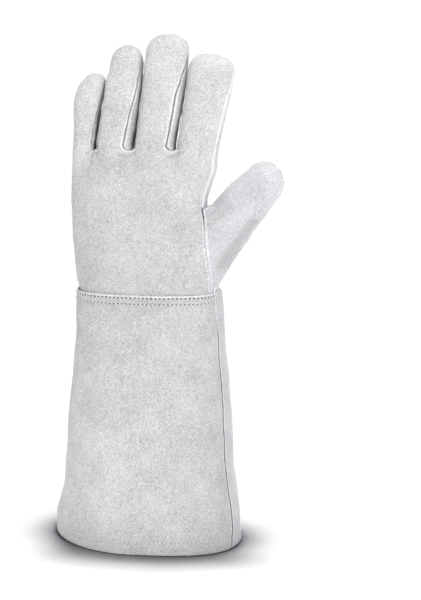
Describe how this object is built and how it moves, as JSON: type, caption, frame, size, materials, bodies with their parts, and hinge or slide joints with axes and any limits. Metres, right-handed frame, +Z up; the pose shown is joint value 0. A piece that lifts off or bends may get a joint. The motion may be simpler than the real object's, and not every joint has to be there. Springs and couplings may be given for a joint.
{
  "type": "leather work glove",
  "caption": "Gauntlet work glove of light grey split leather: a hand with parted fingers, sewn-in thumb, smooth palm patch and a long flared cuff, standing on its hem.",
  "frame": {"origin": "middle of the bounding box, on the surface that the cuff's hem stands on", "axes": "+Z up from the hem to the fingertips, -Y out of the back of the hand, +X to the thumb side"},
  "size_m": [0.19, 0.1102, 0.4],
  "materials": {
    "split_leather": "matt suede nap",
    "fine_split_leather": "matt fine nap",
    "grain_leather": "smooth satin",
    "welt_leather": "matt cut edge"
  },
  "bodies": {
    "root": {"back_panel": "split_leather", "palm_panel": "split_leather", "two_finger_front": "split_leather", "fourchette_little_ring": "split_leather", "fourchette_ring_middle": "split_leather", "fourchette_middle_index": "split_leather", "thumb_back": "fine_split_leather", "thumb_front": "grain_leather", "cuff_front": "split_leather", "cuff_rear": "fine_split_leather", "palm_patch": "grain_leather", "index_welt": "welt_leather", "finger_base_welt": "welt_leather"}
  },
  "joints": []
}
